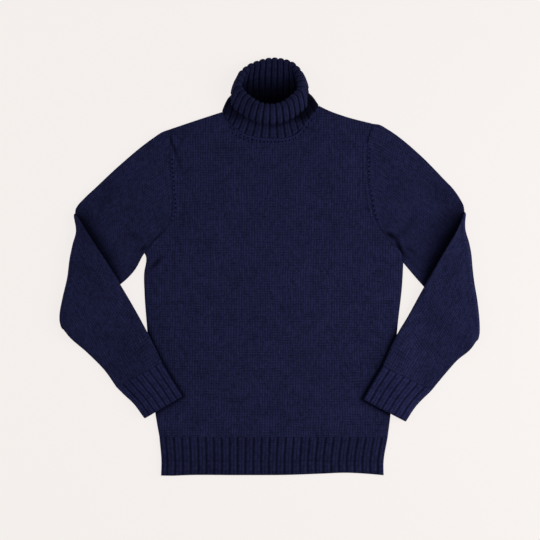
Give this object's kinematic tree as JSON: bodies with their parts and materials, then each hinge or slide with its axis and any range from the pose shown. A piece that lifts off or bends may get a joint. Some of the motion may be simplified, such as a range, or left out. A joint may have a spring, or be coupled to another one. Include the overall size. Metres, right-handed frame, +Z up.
{
  "type": "roll-neck sweater",
  "caption": "Chunky knitted sweater with a ribbed roll collar, hem and cuffs, laid flat with both sleeves folded onto the front.",
  "frame": {"origin": "centre of the bounding box on the surface that the sweater lies on, under the back panel", "axes": "+Z up from that surface, +Y from the hem to the collar, +X towards the wearer's left sleeve"},
  "size_m": [0.8157, 0.8131, 0.0571],
  "materials": {
    "knit": "matt navy wool, stockinette",
    "rib": "matt navy wool, two by two rib"
  },
  "bodies": {
    "root": {"back": "knit", "front": "knit", "sleeve_right": "knit", "sleeve_left": "knit", "hem_back": "rib", "hem_front": "rib", "cuff_right": "rib", "cuff_left": "rib", "collar": "rib"}
  },
  "joints": []
}
